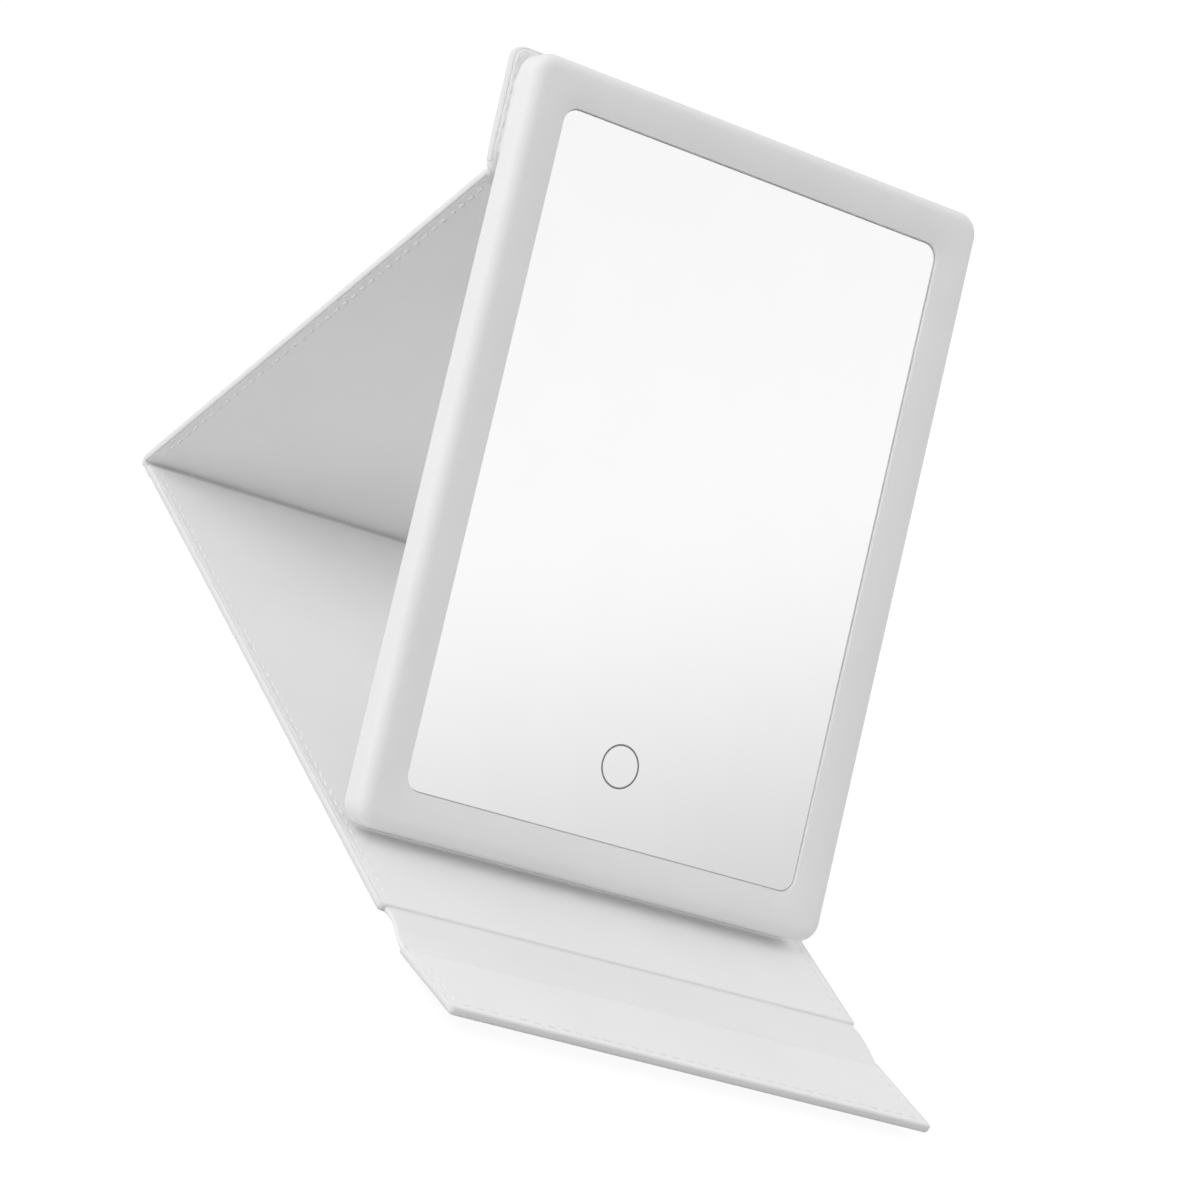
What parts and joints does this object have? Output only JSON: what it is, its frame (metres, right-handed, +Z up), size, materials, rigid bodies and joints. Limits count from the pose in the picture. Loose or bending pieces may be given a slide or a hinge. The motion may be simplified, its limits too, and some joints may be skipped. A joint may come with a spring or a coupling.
{
  "type": "lighted makeup mirror",
  "caption": "Folding lighted makeup mirror: a thin mirror head with a lit bezel and touch ring, propped on a white leather-look folio cover that folds into its own stand.",
  "frame": {"origin": "middle of the base panel's underside, on the table", "axes": "+X to the right seen from the front, +Y to the back where the strut turns, +Z up"},
  "size_m": [0.161, 0.2787, 0.1912],
  "materials": {
    "opal_plastic": "satin opal",
    "mirror": "polished",
    "foam_tape": "matt",
    "white_plastic": "matt",
    "steel": "plain",
    "magnet": "nickel plated",
    "circuit_board": "white mask",
    "lamp": "resin",
    "wire_sleeve": "plain",
    "battery_foil": "foil",
    "dark_plastic": "moulded",
    "contact_metal": "plated",
    "cover_skin": "smooth coated sheet",
    "cover_lining": "smooth coated sheet",
    "board": "pressed grey board"
  },
  "bodies": {
    "base": {"base_skin": "cover_skin", "base_board": "board", "base_lining": "cover_lining", "base_magnets": "magnet", "rear_spine_web": "cover_skin"},
    "strut": {"strut_skin": "cover_skin", "strut_board": "board", "strut_lining": "cover_lining", "top_hinge_web": "cover_skin", "rear_crease": "cover_skin"},
    "mirror_head": {"front_frame": "opal_plastic", "mirror_glass": "mirror", "mirror_tape": "foam_tape", "rear_cover": "white_plastic", "cover_screws": "steel", "led_strip_left": "circuit_board", "led_strip_right": "circuit_board", "led_strip_top": "circuit_board", "led_strip_bottom": "circuit_board", "led_chips": "lamp", "led_jumpers": "wire_sleeve", "led_lead": "wire_sleeve", "battery": "battery_foil", "battery_tape": "foam_tape", "battery_lead": "wire_sleeve", "control_board": "circuit_board", "board_components": "dark_plastic", "board_screws": "steel", "usb_socket": "steel", "touch_contact": "contact_metal", "foot_magnets": "magnet", "top_panel_adhesive": "foam_tape", "top_panel_skin": "cover_skin", "top_panel_board": "board", "top_panel_lining": "cover_lining", "catch_plate": "steel"},
    "front_spine": {"front_spine_web": "cover_skin"},
    "flap": {"flap_skin": "cover_skin", "flap_board": "board", "flap_lining": "cover_lining", "flap_magnets": "magnet"}
  },
  "joints": [
    {"name": "strut_fold", "type": "hinge", "parent": "base", "child": "strut", "pos_m": [0, 0.12025, 0.0013], "axis": [-1, 0, 0], "range_deg": [0, 31.4], "deforming": ["rear_crease"]},
    {"name": "head_fold", "type": "hinge", "parent": "strut", "child": "mirror_head", "pos_m": [0, 0.02496, 0.15741], "axis": [-1, 0, 0], "range_deg": [-62.8, 0], "deforming": ["top_hinge_web"]},
    {"name": "spine_fold", "type": "hinge", "parent": "base", "child": "front_spine", "pos_m": [0, -0.10815, 0.0013], "axis": [-1, 0, 0], "range_deg": [0, 90]},
    {"name": "flap_fold", "type": "hinge", "parent": "front_spine", "child": "flap", "pos_m": [0, -0.12465, 0.0013], "axis": [-1, 0, 0], "range_deg": [-6.3, 83.7]}
  ],
  "couplings": [
    {"joint": "head_fold", "follows": "strut_fold", "ratio": -2}
  ]
}
